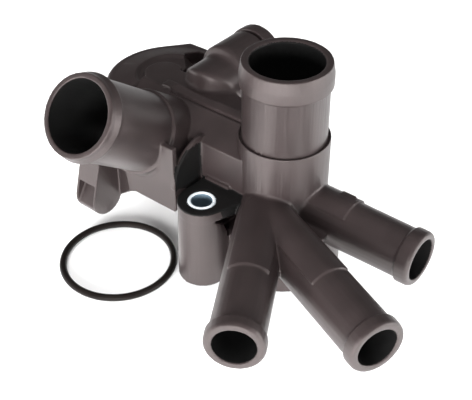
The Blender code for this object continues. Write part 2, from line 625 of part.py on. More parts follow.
def water_ways():
    """Every hollow of the moulding, joined to one body that is cut out of it."""
    ways = revolve("ways", [(BASE_OPENING_RADIUS, -PAST), (BASE_OPENING_RADIUS, BASE_TOP - BASE_ROOF),
                            (TOP_BORE_RADIUS, BASE_TOP)], ROUND_LARGE)
    top_bore = revolve("top_bore", [(TOP_BORE_RADIUS, BASE_TOP - PAST), (TOP_BORE_RADIUS, TOP_RIM_HEIGHT + PAST)],
                       ROUND_LARGE)
    duct_way = extrude_outline("duct_way", duct_section(WALL), 0.0, -DUCT_END_X - WALL - DUCT_WAY_END,
                               along_x(DUCT_END_X + WALL))
    slant_way = revolve("slant_way", [(SLANT_BORE_RADIUS, SLANT_BORE_START), (SLANT_BORE_RADIUS, SLANT_LENGTH + PAST)],
                        ROUND_LARGE, aim((SLANT_X, 0.0, SLANT_ROOT_HEIGHT), slant_direction()))
    neck_length = REAR_TUBE_START - REAR_BORE_START + WALL
    rear_way = revolve("rear_way", [(REAR_NECK_RADIUS, 0.0), (REAR_NECK_RADIUS, neck_length),
                                    (REAR_BORE_RADIUS, neck_length),
                                    (REAR_BORE_RADIUS, REAR_END - REAR_BORE_START + PAST)],
                       ROUND_SMALL, aim((REAR_X, REAR_BORE_START, REAR_AXIS_HEIGHT), (0, 1, 0)))
    rear_drop = revolve("rear_drop", [(REAR_DROP_RADIUS, DUCT_AXIS_HEIGHT), (REAR_DROP_RADIUS, REAR_AXIS_HEIGHT)],
                        ROUND_SMALL, Matrix.Translation((REAR_X, REAR_DROP_Y, 0.0)))
    add(ways, top_bore, duct_way, slant_way, rear_way, rear_drop)
    return add(ways, small_bore("front"), small_bore("corner"), small_bore("side"))


def housing():
    """The whole moulding: outer forms joined first, then every water way and bolt hole cut through them."""
    body = cut(outer_form(), water_ways())
    hole_radius = BUSH_OUTER_RADIUS + BUSH_CLEARANCE
    for side in (-1, 1):
        hole = revolve("hole", [(hole_radius, -PAST), (hole_radius, BOSS_HEIGHT + PAST)], ROUND_SMALL,
                       Matrix.Translation((BOLT_X, side * BOLT_Y, 0.0)))
        cut(body, hole)
    body.name = "housing"
    return body


def bush(name, side):
    """Steel limiter sleeve in a bolt boss, flush with both faces of the boss."""
    centre = Matrix.Translation((BOLT_X, side * BOLT_Y, 0.0))
    foot = LIP_HEIGHT
    sleeve = revolve(name, [
        (0.0, foot), (BUSH_OUTER_RADIUS - BUSH_CHAMFER, foot), (BUSH_OUTER_RADIUS, foot + BUSH_CHAMFER),
        (BUSH_OUTER_RADIUS, BOSS_HEIGHT - BUSH_CHAMFER), (BUSH_OUTER_RADIUS - BUSH_CHAMFER, BOSS_HEIGHT),
        (0.0, BOSS_HEIGHT)], ROUND_SMALL, centre)
    hole = revolve("bush_hole", [(BUSH_BORE_RADIUS, -PAST), (BUSH_BORE_RADIUS, BOSS_HEIGHT + PAST)],
                   ROUND_SMALL, centre)
    return cut(sleeve, hole)


def seal_ring():
    """Round-section rubber ring lying on the seating plane."""
    around = 40
    section = 12
    tube = SEAL_SECTION / 2
    middle = SEAL_OUTER_RADIUS - tube
    bm = bmesh.new()
    rings = []
    for step in range(around):
        turn = math.tau * step / around
        ring = []
        for part in range(section):
            roll = math.tau * (part + 0.5) / section
            reach = middle + tube * math.cos(roll)
            ring.append(bm.verts.new((SEAL_PLACE[0] + reach * math.cos(turn), SEAL_PLACE[1] + reach * math.sin(turn),
                                      tube * math.cos(math.pi / section) + tube * math.sin(roll))))
        rings.append(ring)
    for step in range(around):
        here = rings[step]
        there = rings[(step + 1) % around]
        for part in range(section):
            after = (part + 1) % section
            bm.faces.new((here[part], there[part], there[after], here[after]))
    return new_object("seal_ring", bm)


def material(name, colour, roughness, metallic):
    """Plain Principled material."""
    mat = bpy.data.materials.new(name)
    mat.use_nodes = True
    shader = mat.node_tree.nodes["Principled BSDF"]
    shader.inputs["Base Color"].default_value = (*colour, 1.0)
    shader.inputs["Roughness"].default_value = roughness
    shader.inputs["Metallic"].default_value = metallic
    return mat


def finish(obj, mat):
    """Give an object its material and smooth its round faces."""
    obj.data.materials.clear()
    obj.data.materials.append(mat)
    obj.data.shade_smooth()
    obj.data.set_sharp_from_angle(angle=math.radians(32))


def centre_on_footprint(objects):
    """Move everything so that the origin is at the bottom centre of the bounding box."""
    corners = [vert.co for obj in objects for vert in obj.data.vertices]
    middle = []
    for axis in (0, 1):
        values = [corner[axis] for corner in corners]
        middle.append((min(values) + max(values)) / 2)
    lowest = min(corner[2] for corner in corners)
    anchor = bpy.data.objects.new("housing_origin", None)
    bpy.context.scene.collection.objects.link(anchor)
    anchor.location = (-middle[0], -middle[1], -lowest)
    for obj in objects:
        obj.parent = anchor


def main():
    for obj in list(bpy.data.objects):
        bpy.data.objects.remove(obj)
    nylon = material("glass_filled_nylon", (0.060, 0.050, 0.048), 0.42, 0.0)
    steel = material("bush_steel", (0.62, 0.64, 0.66), 0.28, 1.0)
    rubber = material("seal_rubber", (0.020, 0.018, 0.017), 0.45, 0.0)
    pieces = [housing(), bush("front_bush", -1), bush("rear_bush", 1), seal_ring()]
    for piece, mat in zip(pieces, (nylon, steel, steel, rubber)):
        finish(piece, mat)
    centre_on_footprint(pieces)


main()
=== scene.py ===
"""Looks of the moulded coolant housing, its two steel bushes and its loose seal ring.

Sizes are in metres. Places on the housing are given in its own modelling frame, whose origin is under the
chamber's axis on the floor, with +X along the duct axis towards the side spigot and +Z up. The function
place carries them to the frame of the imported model.
"""

import math

import bmesh
import bpy
import numpy as np
from mathutils import Matrix, Vector


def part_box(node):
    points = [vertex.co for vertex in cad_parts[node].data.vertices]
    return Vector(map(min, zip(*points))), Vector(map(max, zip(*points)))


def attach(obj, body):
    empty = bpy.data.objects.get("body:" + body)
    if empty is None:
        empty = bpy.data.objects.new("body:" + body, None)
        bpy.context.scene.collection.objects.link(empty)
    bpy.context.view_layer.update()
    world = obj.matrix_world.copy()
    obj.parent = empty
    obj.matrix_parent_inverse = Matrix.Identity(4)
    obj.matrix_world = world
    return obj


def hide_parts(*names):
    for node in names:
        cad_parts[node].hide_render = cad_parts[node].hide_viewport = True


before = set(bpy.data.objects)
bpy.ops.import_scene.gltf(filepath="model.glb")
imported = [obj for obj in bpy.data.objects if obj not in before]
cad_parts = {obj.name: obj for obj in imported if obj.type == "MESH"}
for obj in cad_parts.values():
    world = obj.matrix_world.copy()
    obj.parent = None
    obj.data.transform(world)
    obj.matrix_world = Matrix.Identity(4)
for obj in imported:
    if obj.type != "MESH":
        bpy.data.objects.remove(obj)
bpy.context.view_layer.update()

# X of both bolt holes in the modelling frame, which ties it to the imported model
BOLT_X = -0.0180

# Camera in the modelling frame, solved from the rims of the spigots
CAMERA_PLACE = (0.1740, -0.2451, 0.2654)
CAMERA_PITCH = math.radians(38.1)
CAMERA_HEADING = math.radians(38.9)
CAMERA_LENS = 72.46
CAMERA_SENSOR = 36.0
CAMERA_FAR = 20.0

# Moulded skin: grid size, edge rounding, small fillets everywhere and large ones at the soft corners
SKIN_GRID = 0.00036
ROUNDING_PASSES = 2
FILLET_PASSES = 3
SOFT_FILLET_PASSES = 36
MELTING_PASSES = 60
SKIN_TRIANGLES = 190000
SAME_POINT = 1e-6

# Share of the way to its neighbours' middle that a point moves in each pass, and how long a normal is kept
PASS_SHARE = 0.5
PASSES_PER_NORMAL = 4

# Soft corners: middle and radius of each ball in which the corners are well filled
SOFT_CORNERS = {
    "small_spigot_roots": ((0.0150, -0.0140, 0.0370), 0.0200),
    "gusset": ((-0.0290, -0.0220, 0.0500), 0.0090),
    "slanted_spigot_root": ((-0.0430, -0.0270, 0.0480), 0.0100),
}

# Balls in which edges and corners alike are melted together, at the root of the rear spigot
MELTED = {
    "rear_root": ((-0.0430, 0.0140, 0.0665), 0.0165),
    "rear_root_foot": ((-0.0360, 0.0150, 0.0615), 0.0075),
}

# Share of a ball's radius over which its effect fades out
SOFT_EDGE_SHARE = 0.3

# Top spigot: rim, bore and the chamfer inside its rim
TOP_RIM_HEIGHT = 0.0944
TOP_TUBE_RADIUS = 0.0165
TOP_BORE_RADIUS = 0.0139
TOP_CHAMFER = 0.0007

# Black gap at the foot of the top spigot, between the tube and the lip of the chamber
CHAMBER_RADIUS = 0.0178
CHAMBER_TOP = 0.0626
FOOT_GAP = (0.01645, 0.01735)
FOOT_GAP_DEPTH = 0.0012

# Slanted spigot: a point of its axis, its slope, its tube and the middle of its rim
SLANT_ROOT = (-0.0514, 0.0, 0.0360)
SLANT_ANGLE = math.radians(36.5)
SLANT_OUTWARD = (0.0, -math.cos(SLANT_ANGLE), math.sin(SLANT_ANGLE))
SLANT_INWARD = (0.0, math.cos(SLANT_ANGLE), -math.sin(SLANT_ANGLE))
SLANT_TUBE_RADIUS = 0.0160
SLANT_RIM = (-0.0514, -0.0570, 0.0782)

# Rear spigot: its axis, its rim and the groove before its bead
REAR_X = -0.0480
REAR_AXIS_HEIGHT = 0.0612
REAR_END = 0.0464
REAR_GROOVE_Y = (0.0388, 0.0404)
REAR_GROOVE_RADIUS = 0.0101

# Crown rib: undercut along its front foot
RIB_UNDERCUT_X = (-0.0560, -0.0177)
RIB_UNDERCUT_Y = (-0.0030, -0.0021)
RIB_UNDERCUT_Z = (0.0600, 0.0640)

# The crown rib's top falls towards the front: what lies above the line between its edges (y, z) is taken off
RIB_REAR_EDGE = (0.0023, 0.0625)
RIB_FRONT_EDGE = (-0.0023, 0.0614)

# The crown rib's left end sinks almost into the platform
RIB_LEFT_X = (-0.0760, -0.0610)
RIB_LEFT_HEIGHT = 0.06125

# Small spigots: end point, heading, how far behind the rim the bead's foot lies, radius of the mouth's lining
PARTING_HEIGHT = 0.0334
SMALL_SPIGOTS = {
    "front": ((0.0374, -0.0770), math.radians(-60.5), 0.0050, 0.0077),
    "corner": ((0.0747, -0.0472), math.radians(-23.2), 0.0050, 0.0077),
    "side": ((0.0634, 0.0), 0.0, 0.0058, 0.0081),
}
SMALL_TUBE_RADIUS = 0.0100
SMALL_WALL_MIDDLE = 0.0090

# Ring taken off behind the foot of each small bead, and where behind the rim each lining starts and ends
BEAD_FOOT_CUT_RADIUS = 0.0125
BEAD_FOOT_CUT_LENGTH = 0.0030
LINING_START = 0.0003
LINING_END = 0.0200

# Bores as rim middle, inward direction, radius and depth; painted shade darkens their walls from just behind
# the rim
BORE_SHADE_START = 0.0005
BORES = [
    ((0.0, 0.0, TOP_RIM_HEIGHT), (0.0, 0.0, -1.0), 0.0143, 0.0500),
    (SLANT_RIM, SLANT_INWARD, 0.0141, 0.0450),
    ((REAR_X, REAR_END, REAR_AXIS_HEIGHT), (0.0, -1.0, 0.0), 0.0095, 0.0200),
]
SMALL_BORE_RADIUS = 0.0084
SMALL_BORE_DEPTH = 0.0400

# Other faces that get painted shade, as low and high corners of boxes that hold them:
# the bolt boss's top plate, its side next to the plate, and the gusset's right side
PAINTED_SHADE_BOXES = [
    ((-0.0292, -0.0390, 0.0378), (-0.0040, -0.0100, 0.0390)),
    ((-0.0080, -0.0390, 0.0330), (-0.0040, -0.0100, 0.0390)),
    ((-0.0294, -0.0312, 0.0388), (-0.0282, -0.0150, 0.0545)),
]

# Round walls whose facets are smoothed away: point and direction of the axis, radius, stretch along the axis
UP = (0.0, 0.0, 1.0)
ROUND_WALLS = [
    ((0.0, 0.0, 0.0), UP, TOP_TUBE_RADIUS, (0.0640, 0.0850)),
    ((0.0, 0.0, 0.0), UP, CHAMBER_RADIUS, (0.0420, 0.0620)),
    (SLANT_ROOT, SLANT_OUTWARD, SLANT_TUBE_RADIUS, (0.0340, 0.0630)),
]
ROUND_WALL_REACH = 0.00012

# Bead along the gusset's curved edge: its x, the arc's centre (y, z) and radius, and the bead's own radius
GUSSET_X = -0.0298
GUSSET_ARC_CENTRE = (-0.0150, 0.0400)
GUSSET_ARC_RADIUS = 0.0159
GUSSET_BEAD_RADIUS = 0.0011
GUSSET_STEPS = 20

# Sloping floor in the left part of the capped end's pocket: the wall it starts from, its run and its heights
POCKET_LEFT_WALL = ((-0.0729, 0.0251), (-0.0648, 0.0168))
POCKET_SLOPE_RUN = 0.0050
POCKET_SLOPE_HEIGHTS = (0.0530, 0.0592)

# Facets round a cutting ring
CUT_ROUND = 96

# Steel bushes
BUSH_OUTER_RADIUS = 0.0056
BUSH_BORE_RADIUS = 0.00425
BUSH_CHAMFER = 0.0004
BUSH_ROUND = 96
UPRIGHT_LIMIT = 0.1
SHARP_ANGLE = math.radians(40)

# Seal ring, whose mould leaves a thin flash line: its height as a share of the section's radius
SEAL_ROUND = 160
SEAL_SECTION_ROUND = 32
SEAL_FLASH_SHARE = 0.05

# Finishes: darkest and lightest colour of the mottling, and scale and depth of the fine grain
SATIN_NYLON = ((0.0115, 0.0085, 0.0085), (0.0165, 0.0120, 0.0120))
# Painted shade: a near-black copy of the nylon, put on the bore walls and on faces that lie in shade
PAINTED_SHADE_NYLON = ((0.0030, 0.0030, 0.0030), (0.0050, 0.0050, 0.0050))
NYLON_TINT = (1.0, 0.90, 0.88, 1.0)
NYLON_ROUGHNESS = 0.42
NYLON_GRAIN = (1500.0, 0.00006)
SATIN_REFLECTION = 0.95
# The painted shade copy of the nylon also reflects less
PAINTED_SHADE_REFLECTION = 0.25

TURNED_STEEL = ((0.62, 0.68, 0.72), (0.80, 0.85, 0.88))
# Painted shade in the bush's bore: a darker blue-grey copy of the turned steel
BORE_SHADE_STEEL = ((0.10, 0.15, 0.19), (0.16, 0.22, 0.27))
STEEL_ROUGHNESS = 0.30
STEEL_GRAIN = (2600.0, 0.00003)
STEEL_METALLIC = 0.45

BLACK_RUBBER = ((0.0040, 0.0032, 0.0030), (0.0070, 0.0055, 0.0050))
RUBBER_ROUGHNESS = 0.32
RUBBER_GRAIN = (1200.0, 0.00003)
RUBBER_REFLECTION = 0.15

# Mottling and grain that all finishes share
GLOSS_SPREAD = 0.05
MOTTLE_SCALE = 90.0
MOTTLE_BAND = (0.3, 0.7)
GRAIN_STRENGTH = 0.35

# Floor
FLOOR_HALF_WIDTH = 6.0
FLOOR_COLOUR = (0.90, 0.90, 0.90, 1.0)
FLOOR_ROUGHNESS = 0.9

# Sky: white at the horizon, darker above a narrow band
SKY_STRENGTH = 1.0
SKY_BAND = (0.02, 0.12)
SKY_TOP = 0.09

# Softboxes: place, width and height, power, and whether the model reflects them; all look at one point
LIGHT_TARGET = (-0.01, -0.01, 0.04)
SOFTBOXES = {
    "top_box": ((0.0, 0.0, 1.1), (1.4, 1.4), 23.0, False),
    "left_box": ((-0.75, -0.45, 0.18), (0.9, 0.32), 0.4, True),
    "right_box": ((0.80, 0.35, 0.18), (0.9, 0.32), 4.8, True),
    "front_box": ((0.35, -0.80, 0.16), (0.9, 0.30), 1.6, True),
    "front_fill": ((0.30, -0.75, 0.16), (1.0, 0.30), 34.0, False),
    "left_fill": ((-0.60, -0.55, 0.16), (1.0, 0.30), 9.0, False),
    "right_fill": ((0.75, -0.10, 0.16), (1.0, 0.30), 2.0, False),
}

# Small card under the flange that glows upwards and lifts the shaded lug
LOW_CARD_PLACE = (-0.060, -0.012, 0.001)
LOW_CARD_TARGET = (-0.060, -0.012, 0.1)
LOW_CARD_SIZE = (0.06, 0.06)
LOW_CARD_POWER = 0.012


def modelling_origin():
    """Where the modelling frame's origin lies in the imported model."""
    low_front, high_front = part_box("front_bush")
    low_rear, high_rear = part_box("rear_bush")
    middle = (low_front + high_front + low_rear + high_rear) / 4
    return Vector((middle.x - BOLT_X, middle.y, 0.0))


ORIGIN = modelling_origin()


def place(point):
    """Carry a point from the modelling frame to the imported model."""
    return Vector(point) + ORIGIN


def link(name, mesh):
    """Put a mesh into the scene as an object at the origin."""
    obj = bpy.data.objects.new(name, mesh)
    bpy.context.scene.collection.objects.link(obj)
    return obj


def evaluated(obj):
    """Mesh of an object with its modifiers applied."""
    graph = bpy.context.evaluated_depsgraph_get()
    return bpy.data.meshes.new_from_object(obj.evaluated_get(graph))


def apply_modifiers(obj):
    """Keep the result of the modifiers as the object's own mesh."""
    mesh = evaluated(obj)
    obj.modifiers.clear()
    old = obj.data
    obj.data = mesh
    bpy.data.meshes.remove(old)


def as_mesh(name, bm):
    """Turn a bmesh into a mesh and free it."""
    mesh = bpy.data.meshes.new(name)
    bm.to_mesh(mesh)
    bm.free()
    return mesh


def closed_mesh(name, bm):
    """Turn a closed bmesh into a mesh whose faces look outwards."""
    bmesh.ops.recalc_face_normals(bm, faces=bm.faces)
    return as_mesh(name, bm)


def read_vectors(items, name):
    """Vectors of one kind for all points or faces, one in each row."""
    values = np.empty(3 * len(items), np.float32)
    items.foreach_get(name, values)
    return values.reshape(-1, 3).astype(np.float64)


def write_points(mesh, points):
    """Put rows of coordinates into a mesh."""
    mesh.vertices.foreach_set("co", points.astype(np.float32).ravel())


def relax(mesh, passes, concave_only, where=None):
    """Move each point towards the middle of its neighbours, everywhere or only into concave corners.

    A share for each point in where holds the movement back, down to none at 0.
    """
    count = len(mesh.vertices)
    edges = np.empty(len(mesh.edges) * 2, np.int32)
    mesh.edges.foreach_get("vertices", edges)
    first, second = edges[0::2], edges[1::2]
    degree = np.bincount(first, minlength=count) + np.bincount(second, minlength=count)
    points = read_vectors(mesh.vertices, "co")
    for turn in range(passes):
        if concave_only and turn % PASSES_PER_NORMAL == 0:
            write_points(mesh, points)
            mesh.update()
            normals = read_vectors(mesh.vertex_normals, "vector")
        shift = np.empty_like(points)
        for axis in range(3):
            values = points[:, axis]
            total = np.bincount(first, values[second], count) + np.bincount(second, values[first], count)
            shift[:, axis] = total / degree - values
        if concave_only:
            inward = np.einsum("ij,ij->i", shift, normals) < 0.0
            shift[inward] = 0.0
        if where is not None:
            shift *= where[:, None]
        points += PASS_SHARE * shift
    write_points(mesh, points)
    mesh.update()


def softness(mesh, balls):
    """Share of a smoothing that each point gets: 1 inside one of the balls, falling to 0 at its edge."""
    points = read_vectors(mesh.vertices, "co")
    share = np.zeros(len(points))
    for middle, radius in balls.values():
        reach = np.linalg.norm(points - np.array(place(middle)), axis=1)
        share = np.maximum(share, np.clip((radius - reach) / (SOFT_EDGE_SHARE * radius), 0.0, 1.0))
    return share


def about_axis(points, start, direction):
    """How far points lie along an axis, and their vectors away from it."""
    axis = np.array(direction)
    offsets = points - np.array(place(start))
    along = offsets @ axis
    return along, offsets - along[:, None] * axis


def smooth_round_walls(mesh):
    """Draw the facets of the round walls out to their true radii."""
    points = read_vectors(mesh.vertices, "co")
    for start, direction, radius, (first, last) in ROUND_WALLS:
        along, across = about_axis(points, start, direction)
        distance = np.linalg.norm(across, axis=1)
        gap = distance - radius
        kept = np.clip(2 * np.abs(gap) / ROUND_WALL_REACH - 1, 0, 1)
        near = (along > first) & (along < last) & (kept < 1)
        wanted = radius + gap * kept
        points[near] += across[near] * (wanted / distance - 1)[near, None]
    write_points(mesh, points)


def bridge(bm, here, there):
    """Faces between two loops of as many points."""
    count = len(here)
    for part in range(count):
        after = (part + 1) % count
        bm.faces.new((here[part], there[part], there[after], here[after]))


def ring_mesh(name, section, around, turn_frame):
    """Closed ring mesh: section is a loop of (radius, height) points, turned about the frame's z axis."""
    bm = bmesh.new()
    rings = []
    for step in range(around):
        turn = math.tau * step / around
        spots = [(radius * math.cos(turn), radius * math.sin(turn), height) for radius, height in section]
        rings.append([bm.verts.new(turn_frame @ Vector(spot)) for spot in spots])
    for step in range(around):
        bridge(bm, rings[step], rings[(step + 1) % around])
    return closed_mesh(name, bm)


def prism_mesh(name, outline, length, turn_frame):
    """Prism over an outline of (u, v) points, whose frame carries them and the run along w to the model."""
    bm = bmesh.new()
    near, far = [[bm.verts.new(turn_frame @ Vector((u, v, w))) for u, v in outline] for w in (0.0, length)]
    bm.faces.new(near)
    bm.faces.new(far)
    bridge(bm, near, far)
    return closed_mesh(name, bm)


def upright_frame(start, along):
    """Frame at a start point whose w axis runs level along a direction, with v up."""
    w = Vector((along[0], along[1], 0.0)).normalized()
    v = Vector(UP)
    u = v.cross(w)
    turn = Matrix((u, v, w)).transposed().to_4x4()
    return Matrix.Translation(place(start)) @ turn


def spigot_frame(end, heading):
    """Frame at the rim of a small spigot, with z along its axis and out of it."""
    direction = Vector((math.cos(heading), math.sin(heading), 0.0))
    turn = direction.to_track_quat("Z", "Y").to_matrix().to_4x4()
    return Matrix.Translation(place((end[0], end[1], PARTING_HEIGHT))) @ turn


def rectangle(first, second):
    """Loop of the four corners of a rectangle, from its stretches in two directions."""
    return [(first[0], second[0]), (first[1], second[0]), (first[1], second[1]), (first[0], second[1])]


def rib_prism(name, outline, x_range):
    """Prism along the crown rib over an outline of (y, z) points."""
    first, last = x_range
    return prism_mesh(name, outline, last - first, upright_frame((first, 0.0, 0.0), (1.0, 0.0)))


def rim_chamfer_section():
    """Section of the ring that cuts the chamfer inside the rim of the top spigot."""
    below = TOP_RIM_HEIGHT - 2 * TOP_CHAMFER
    above = TOP_RIM_HEIGHT + TOP_CHAMFER
    inside = TOP_BORE_RADIUS - TOP_CHAMFER
    outside = TOP_BORE_RADIUS + 2 * TOP_CHAMFER
    return [(inside, below), (inside, above), (outside, above)]


def grooves():
    """Cutting bodies for the fine gaps of the moulding."""
    upright = Matrix.Translation(place((0.0, 0.0, 0.0)))
    foot_gap = rectangle(FOOT_GAP, (CHAMBER_TOP - FOOT_GAP_DEPTH, CHAMBER_TOP + FOOT_GAP_DEPTH))
    duct_middle = Matrix.Translation(place((REAR_X, 0.0, REAR_AXIS_HEIGHT)))
    to_rear = duct_middle @ Matrix.Rotation(-math.pi / 2, 4, "X")
    rear_groove = rectangle((REAR_GROOVE_RADIUS, 2 * REAR_GROOVE_RADIUS), REAR_GROOVE_Y)
    over_rib = RIB_UNDERCUT_Z[1]
    slope = [RIB_FRONT_EDGE, RIB_REAR_EDGE, (RIB_REAR_EDGE[0], over_rib), (RIB_FRONT_EDGE[0], over_rib)]
    left_end = rectangle((RIB_FRONT_EDGE[0], RIB_REAR_EDGE[0]), (RIB_LEFT_HEIGHT, over_rib))
    cuts = [
        ring_mesh("foot_gap", foot_gap, CUT_ROUND, upright),
        ring_mesh("rear_groove", rear_groove, CUT_ROUND, to_rear),
        rib_prism("rib_undercut", rectangle(RIB_UNDERCUT_Y, RIB_UNDERCUT_Z), RIB_UNDERCUT_X),
        ring_mesh("rim_chamfer", rim_chamfer_section(), CUT_ROUND, upright),
        rib_prism("rib_slope", slope, RIB_UNDERCUT_X),
        rib_prism("rib_left_end", left_end, RIB_LEFT_X),
    ]
    for key, (end, heading, foot, _) in SMALL_SPIGOTS.items():
        section = rectangle((SMALL_TUBE_RADIUS, BEAD_FOOT_CUT_RADIUS), (-foot - BEAD_FOOT_CUT_LENGTH, -foot))
        cuts.append(ring_mesh(key + "_bead_foot", section, CUT_ROUND, spigot_frame(end, heading)))
    return cuts


def gusset_bead():
    """Round bead along the gusset's curved edge."""
    centre = place((GUSSET_X, *GUSSET_ARC_CENTRE))
    bm = bmesh.new()
    rings = []
    for step in range(GUSSET_STEPS + 1):
        angle = math.pi / 2 + math.pi / 2 * step / GUSSET_STEPS
        outward = Vector((0.0, math.cos(angle), math.sin(angle)))
        rings.append([])
        for corner in range(GUSSET_STEPS):
            turn = math.tau * corner / GUSSET_STEPS
            offset = Vector((math.cos(turn), 0.0, 0.0)) + math.sin(turn) * outward
            rings[-1].append(bm.verts.new(centre + GUSSET_ARC_RADIUS * outward + GUSSET_BEAD_RADIUS * offset))
    for ring, following in zip(rings, rings[1:]):
        bridge(bm, ring, following)
    bm.faces.new(rings[0])
    bm.faces.new(rings[-1])
    return closed_mesh("gusset_bead", bm)


def pocket_slope():
    """Wedge that rises to the left wall of the capped end's pocket."""
    start, end = POCKET_LEFT_WALL
    run = (end[0] - start[0], end[1] - start[1])
    low, high = POCKET_SLOPE_HEIGHTS
    outline = [(-SKIN_GRID, low), (POCKET_SLOPE_RUN, low), (-SKIN_GRID, high)]
    return prism_mesh("pocket_slope", outline, math.hypot(*run), upright_frame((*start, 0.0), run))


def fillings():
    """Bodies that the moulding gains: the gusset's bead, the small mouths' linings and the pocket's slope."""
    bodies = [gusset_bead()]
    for key, (end, heading, _, lining) in SMALL_SPIGOTS.items():
        section = rectangle((lining, SMALL_WALL_MIDDLE), (-LINING_END, -LINING_START))
        bodies.append(ring_mesh(key + "_lining", section, CUT_ROUND, spigot_frame(end, heading)))
    bodies.append(pocket_slope())
    return bodies


def carve(skin, meshes):
    """Cut each closed mesh out of the skin."""
    for mesh in meshes:
        cutter = link(mesh.name, mesh)
        difference = skin.modifiers.new(mesh.name, "BOOLEAN")
        difference.operation = "DIFFERENCE"
        difference.solver = "MANIFOLD"
        difference.object = cutter
        apply_modifiers(skin)
        bpy.data.objects.remove(cutter)
        bpy.data.meshes.remove(mesh)


def merge(skin, meshes):
    """Put closed bodies into the skin's mesh; the grid that comes next makes one surface of them."""
    bm = bmesh.new()
    bm.from_mesh(skin.data)
    for mesh in meshes:
        bm.from_mesh(mesh)
        bpy.data.meshes.remove(mesh)
    bm.to_mesh(skin.data)
    bm.free()


def moulded_skin(name, node):
    """Fine copy of a CAD node with rounded edges and filled corners, as a moulding has them."""
    bm = bmesh.new()
    bm.from_mesh(node.data)
    bmesh.ops.remove_doubles(bm, verts=bm.verts, dist=SAME_POINT)
    skin = link(name, as_mesh(name, bm))
    carve(skin, grooves())
    merge(skin, fillings())
    grid = skin.modifiers.new("grid", "REMESH")
    grid.mode = "VOXEL"
    grid.voxel_size = SKIN_GRID
    apply_modifiers(skin)
    relax(skin.data, ROUNDING_PASSES, False)
    relax(skin.data, FILLET_PASSES, True)
    relax(skin.data, SOFT_FILLET_PASSES, True, softness(skin.data, SOFT_CORNERS))
    relax(skin.data, MELTING_PASSES, False, softness(skin.data, MELTED))
    smooth_round_walls(skin.data)
    thin = skin.modifiers.new("thin", "DECIMATE")
    triangles = 2 * len(skin.data.polygons)
    thin.ratio = min(1.0, SKIN_TRIANGLES / triangles)
    thin.use_collapse_triangulate = True
    apply_modifiers(skin)
    skin.data.materials.clear()
    skin.data.shade_smooth()
    return skin


def all_bores():
    """Rim middle, inward direction, radius and depth of every bore."""
    bores = list(BORES)
    for end, heading, _, _ in SMALL_SPIGOTS.values():
        inward = (-math.cos(heading), -math.sin(heading), 0.0)
        bores.append(((*end, PARTING_HEIGHT), inward, SMALL_BORE_RADIUS, SMALL_BORE_DEPTH))
    return bores


def mark_painted_shade_faces(mesh):
    """Paint shade on the walls of the bores and on the faces in the shade boxes: they get the mesh's second,
    darker material.
    """
    centres = read_vectors(mesh.polygons, "center")
    normals = read_vectors(mesh.polygons, "normal")
    slots = np.zeros(len(centres), np.int32)
    for rim, inward, radius, depth in all_bores():
        along, across = about_axis(centres, rim, inward)
        facing_axis = (across * normals).sum(axis=1) < 0
        near = np.linalg.norm(across, axis=1) < radius
        slots[(along > BORE_SHADE_START) & (along < depth) & near & facing_axis] = 1
    for low, high in PAINTED_SHADE_BOXES:
        above_low = (centres > np.array(place(low))).all(axis=1)
        below_high = (centres < np.array(place(high))).all(axis=1)
        slots[above_low & below_high] = 1
    mesh.polygons.foreach_set("material_index", slots)


def turned_ring(name, section, centre, around):
    """Smooth ring about a vertical axis: section is a loop of (radius, height) points."""
    mesh = ring_mesh(name, section, around, Matrix.Translation((centre.x, centre.y, 0.0)))
    mesh.shade_smooth()
    mesh.set_sharp_from_angle(angle=SHARP_ANGLE)
    return link(name, mesh)


def bush(name, node):
    """Turned steel sleeve with small chamfers at both ends, in the place of a CAD bush."""
    low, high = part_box(node)
    centre = (low + high) / 2
    outer, bore, edge = BUSH_OUTER_RADIUS, BUSH_BORE_RADIUS, BUSH_CHAMFER
    section = [
        (outer - edge, low.z), (outer, low.z + edge), (outer, high.z - edge), (outer - edge, high.z),
        (bore + edge, high.z), (bore, high.z - edge), (bore, low.z + edge), (bore + edge, low.z),
    ]
    piece = turned_ring(name, section, centre, BUSH_ROUND)
    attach(piece, "root")
    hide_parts(node)
    return piece


def mark_bush_bore_shade(mesh):
    """Paint shade on the upright wall of the bush's hole: it gets the mesh's second, darker material."""
    centres = read_vectors(mesh.polygons, "center")
    normals = read_vectors(mesh.polygons, "normal")
    middle = (centres.min(axis=0) + centres.max(axis=0)) / 2
    radii = np.linalg.norm((centres - middle)[:, :2], axis=1)
    upright = np.abs(normals[:, 2]) < UPRIGHT_LIMIT
    slots = (upright & (radii < BUSH_BORE_RADIUS + BUSH_CHAMFER)).astype(np.int32)
    mesh.polygons.foreach_set("material_index", slots)


def seal(name, node):
    """Round rubber ring with the thin flash line that its mould leaves inside and outside."""
    low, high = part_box(node)
    centre = (low + high) / 2
    tube = (high.z - low.z) / 2
    middle = (high.x - low.x) / 2 - tube
    section = []
    for part in range(SEAL_SECTION_ROUND):
        roll = math.tau * part / SEAL_SECTION_ROUND
        on_flash = part in (0, SEAL_SECTION_ROUND // 2)
        reach = tube + (SEAL_FLASH_SHARE * tube if on_flash else 0.0)
        section.append((middle + reach * math.cos(roll), centre.z + reach * math.sin(roll)))
    piece = turned_ring(name, section, centre, SEAL_ROUND)
    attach(piece, "root")
    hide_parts(node)
    return piece


def add_node(tree, kind, **inputs):
    """New shader node with its inputs set by name."""
    node = tree.nodes.new(kind)
    for key, value in inputs.items():
        node.inputs[key].default_value = value
    return node


def set_ramp(node, band, low, high):
    """Set a colour ramp's two ends: their positions and colours."""
    for stop, position, colour in zip(node.color_ramp.elements, band, (low, high)):
        stop.position = position
        stop.color = (*colour, 1.0)


